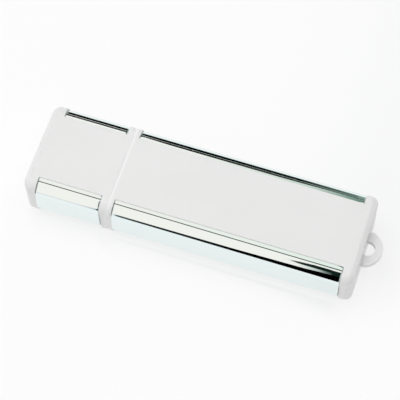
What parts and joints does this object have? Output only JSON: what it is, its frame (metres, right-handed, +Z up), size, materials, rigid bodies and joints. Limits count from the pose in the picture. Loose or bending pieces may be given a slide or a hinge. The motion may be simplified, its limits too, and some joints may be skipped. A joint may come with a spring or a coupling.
{
  "type": "usb flash drive",
  "caption": "Slim white USB flash drive with bright side rails, a pull-off cap over its type A plug, and a lanyard loop at the back.",
  "frame": {"origin": "middle of the bounding box's bottom face, on the surface that the drive lies on", "axes": "+X runs from the cap's closed end to the lanyard loop, +Z is up out of the broad white face, and +Y is the left side seen from behind the plug"},
  "size_m": [0.071, 0.0204, 0.0104],
  "materials": {
    "white_case": "satin moulded white",
    "white_liner": "plain moulded off-white",
    "bright_rail": "polished mirror",
    "plug_steel": "plated sheet steel",
    "crystal_steel": "plated can",
    "black_tongue": "moulded black",
    "gold_contact": "gold plated",
    "green_board": "glass-fibre board with green solder mask",
    "black_chip": "moulded black resin",
    "tan_ceramic": "bare ceramic with plated ends",
    "clear_lamp": "clear resin"
  },
  "bodies": {
    "drive_body": {"upper_case": "white_case", "lower_case": "white_case", "body_rail_left": "bright_rail", "body_rail_right": "bright_rail", "lanyard_loop": "white_case", "plug_shield": "plug_steel", "plug_tongue": "black_tongue", "contact_vbus": "gold_contact", "contact_data_minus": "gold_contact", "contact_data_plus": "gold_contact", "contact_ground": "gold_contact", "circuit_board": "green_board", "controller_chip": "black_chip", "flash_memory_chip": "black_chip", "crystal_can": "crystal_steel", "voltage_regulator": "black_chip", "activity_led": "clear_lamp", "input_capacitor": "tan_ceramic", "controller_capacitor": "tan_ceramic", "memory_capacitor": "tan_ceramic", "data_resistor": "black_chip", "led_resistor": "black_chip"},
    "cap": {"cap_shell": "white_case", "cap_rail_left": "bright_rail", "cap_rail_right": "bright_rail", "cap_liner": "white_liner"}
  },
  "joints": [
    {"name": "cap_slide", "type": "slide", "parent": "drive_body", "child": "cap", "axis": [-1, 0, 0], "range_m": [0, 0.022]}
  ]
}
